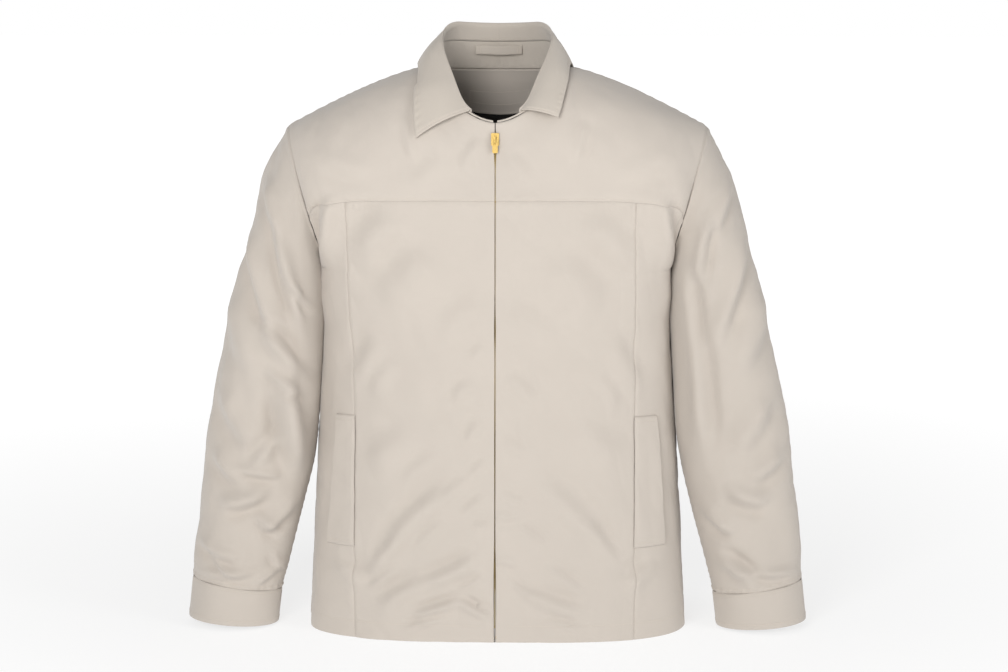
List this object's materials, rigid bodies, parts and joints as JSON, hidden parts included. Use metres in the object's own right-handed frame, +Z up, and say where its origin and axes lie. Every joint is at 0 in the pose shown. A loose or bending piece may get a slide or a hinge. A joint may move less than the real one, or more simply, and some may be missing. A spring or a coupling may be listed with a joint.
{
  "type": "beekeeping jacket",
  "caption": "Long-sleeved zip-front work jacket in pale cotton twill, with a shirt collar, front yoke, upright welt pockets and a full lining.",
  "frame": {"origin": "middle of the base, on the plane that the hem rests on", "axes": "+Z up, -Y out of the front, +X to the wearer's left"},
  "size_m": [0.7728, 0.262, 0.7484],
  "materials": {
    "shell_cloth": "fine cotton twill, matte",
    "sleeve_cloth": "fine cotton twill, matte",
    "collar_cloth": "fine cotton twill, interlined",
    "facing_cloth": "fine cotton twill, matte",
    "lining_cloth": "smooth dark lining",
    "pocketing": "plain pocketing",
    "zip_tape": "woven tape",
    "zip_metal": "antique brass"
  },
  "bodies": {
    "torso": {"back_neck_facing": "facing_cloth", "back_yoke": "shell_cloth", "hanger_loop": "collar_cloth", "left_back_lining": "lining_cloth", "left_back_panel": "shell_cloth", "left_collar_leaf": "collar_cloth", "left_collar_stand": "collar_cloth", "left_front_lining": "lining_cloth", "left_front_yoke": "shell_cloth", "left_pocket_bag": "pocketing", "left_pocket_welt": "shell_cloth", "left_side_panel": "shell_cloth", "left_zip_stop": "zip_metal", "right_back_lining": "lining_cloth", "right_back_panel": "shell_cloth", "right_collar_leaf": "collar_cloth", "right_collar_stand": "collar_cloth", "right_front_facing": "facing_cloth", "right_front_lining": "lining_cloth", "right_front_panel": "shell_cloth", "right_front_yoke": "shell_cloth", "right_pocket_bag": "pocketing", "right_pocket_welt": "shell_cloth", "right_side_panel": "shell_cloth", "right_zip_chain": "zip_metal", "right_zip_stop": "zip_metal", "right_zip_tape": "zip_tape", "zip_box": "zip_metal"},
    "left_sleeve": {"left_sleeve": "sleeve_cloth", "left_sleeve_lining": "lining_cloth", "left_cuff": "sleeve_cloth"},
    "right_sleeve": {"right_sleeve": "sleeve_cloth", "right_sleeve_lining": "lining_cloth", "right_cuff": "sleeve_cloth"},
    "left_front": {"left_front_panel": "shell_cloth", "left_front_facing": "facing_cloth", "left_zip_tape": "zip_tape", "left_zip_chain": "zip_metal", "zip_pin": "zip_metal"},
    "slider": {"zip_slider": "zip_metal", "zip_bail": "zip_metal"},
    "pull": {"zip_pull": "zip_metal"}
  },
  "joints": [
    {"name": "left_sleeve_raise", "type": "hinge", "parent": "torso", "child": "left_sleeve", "pos_m": [0.258, 0, 0.624], "axis": [0, -1, 0], "range_deg": [0, 65]},
    {"name": "right_sleeve_raise", "type": "hinge", "parent": "torso", "child": "right_sleeve", "pos_m": [-0.258, 0, 0.624], "axis": [0, 1, 0], "range_deg": [0, 65]},
    {"name": "left_front_open", "type": "hinge", "parent": "torso", "child": "left_front", "pos_m": [0.173, -0.1012, 0], "axis": [-0.1667, -0.0096, 0.986], "range_deg": [0, 55], "deforming": ["left_front_facing", "left_zip_tape", "left_zip_chain", "left_front_lining", "left_pocket_bag"]},
    {"name": "zip_slide", "type": "slide", "parent": "torso", "child": "slider", "axis": [0, -0.047, -0.9989], "range_m": [0, 0.59]},
    {"name": "pull_flip", "type": "hinge", "parent": "slider", "child": "pull", "pos_m": [0, -0.10571, 0.6187], "axis": [-1, 0, 0], "range_deg": [0, 160]}
  ]
}
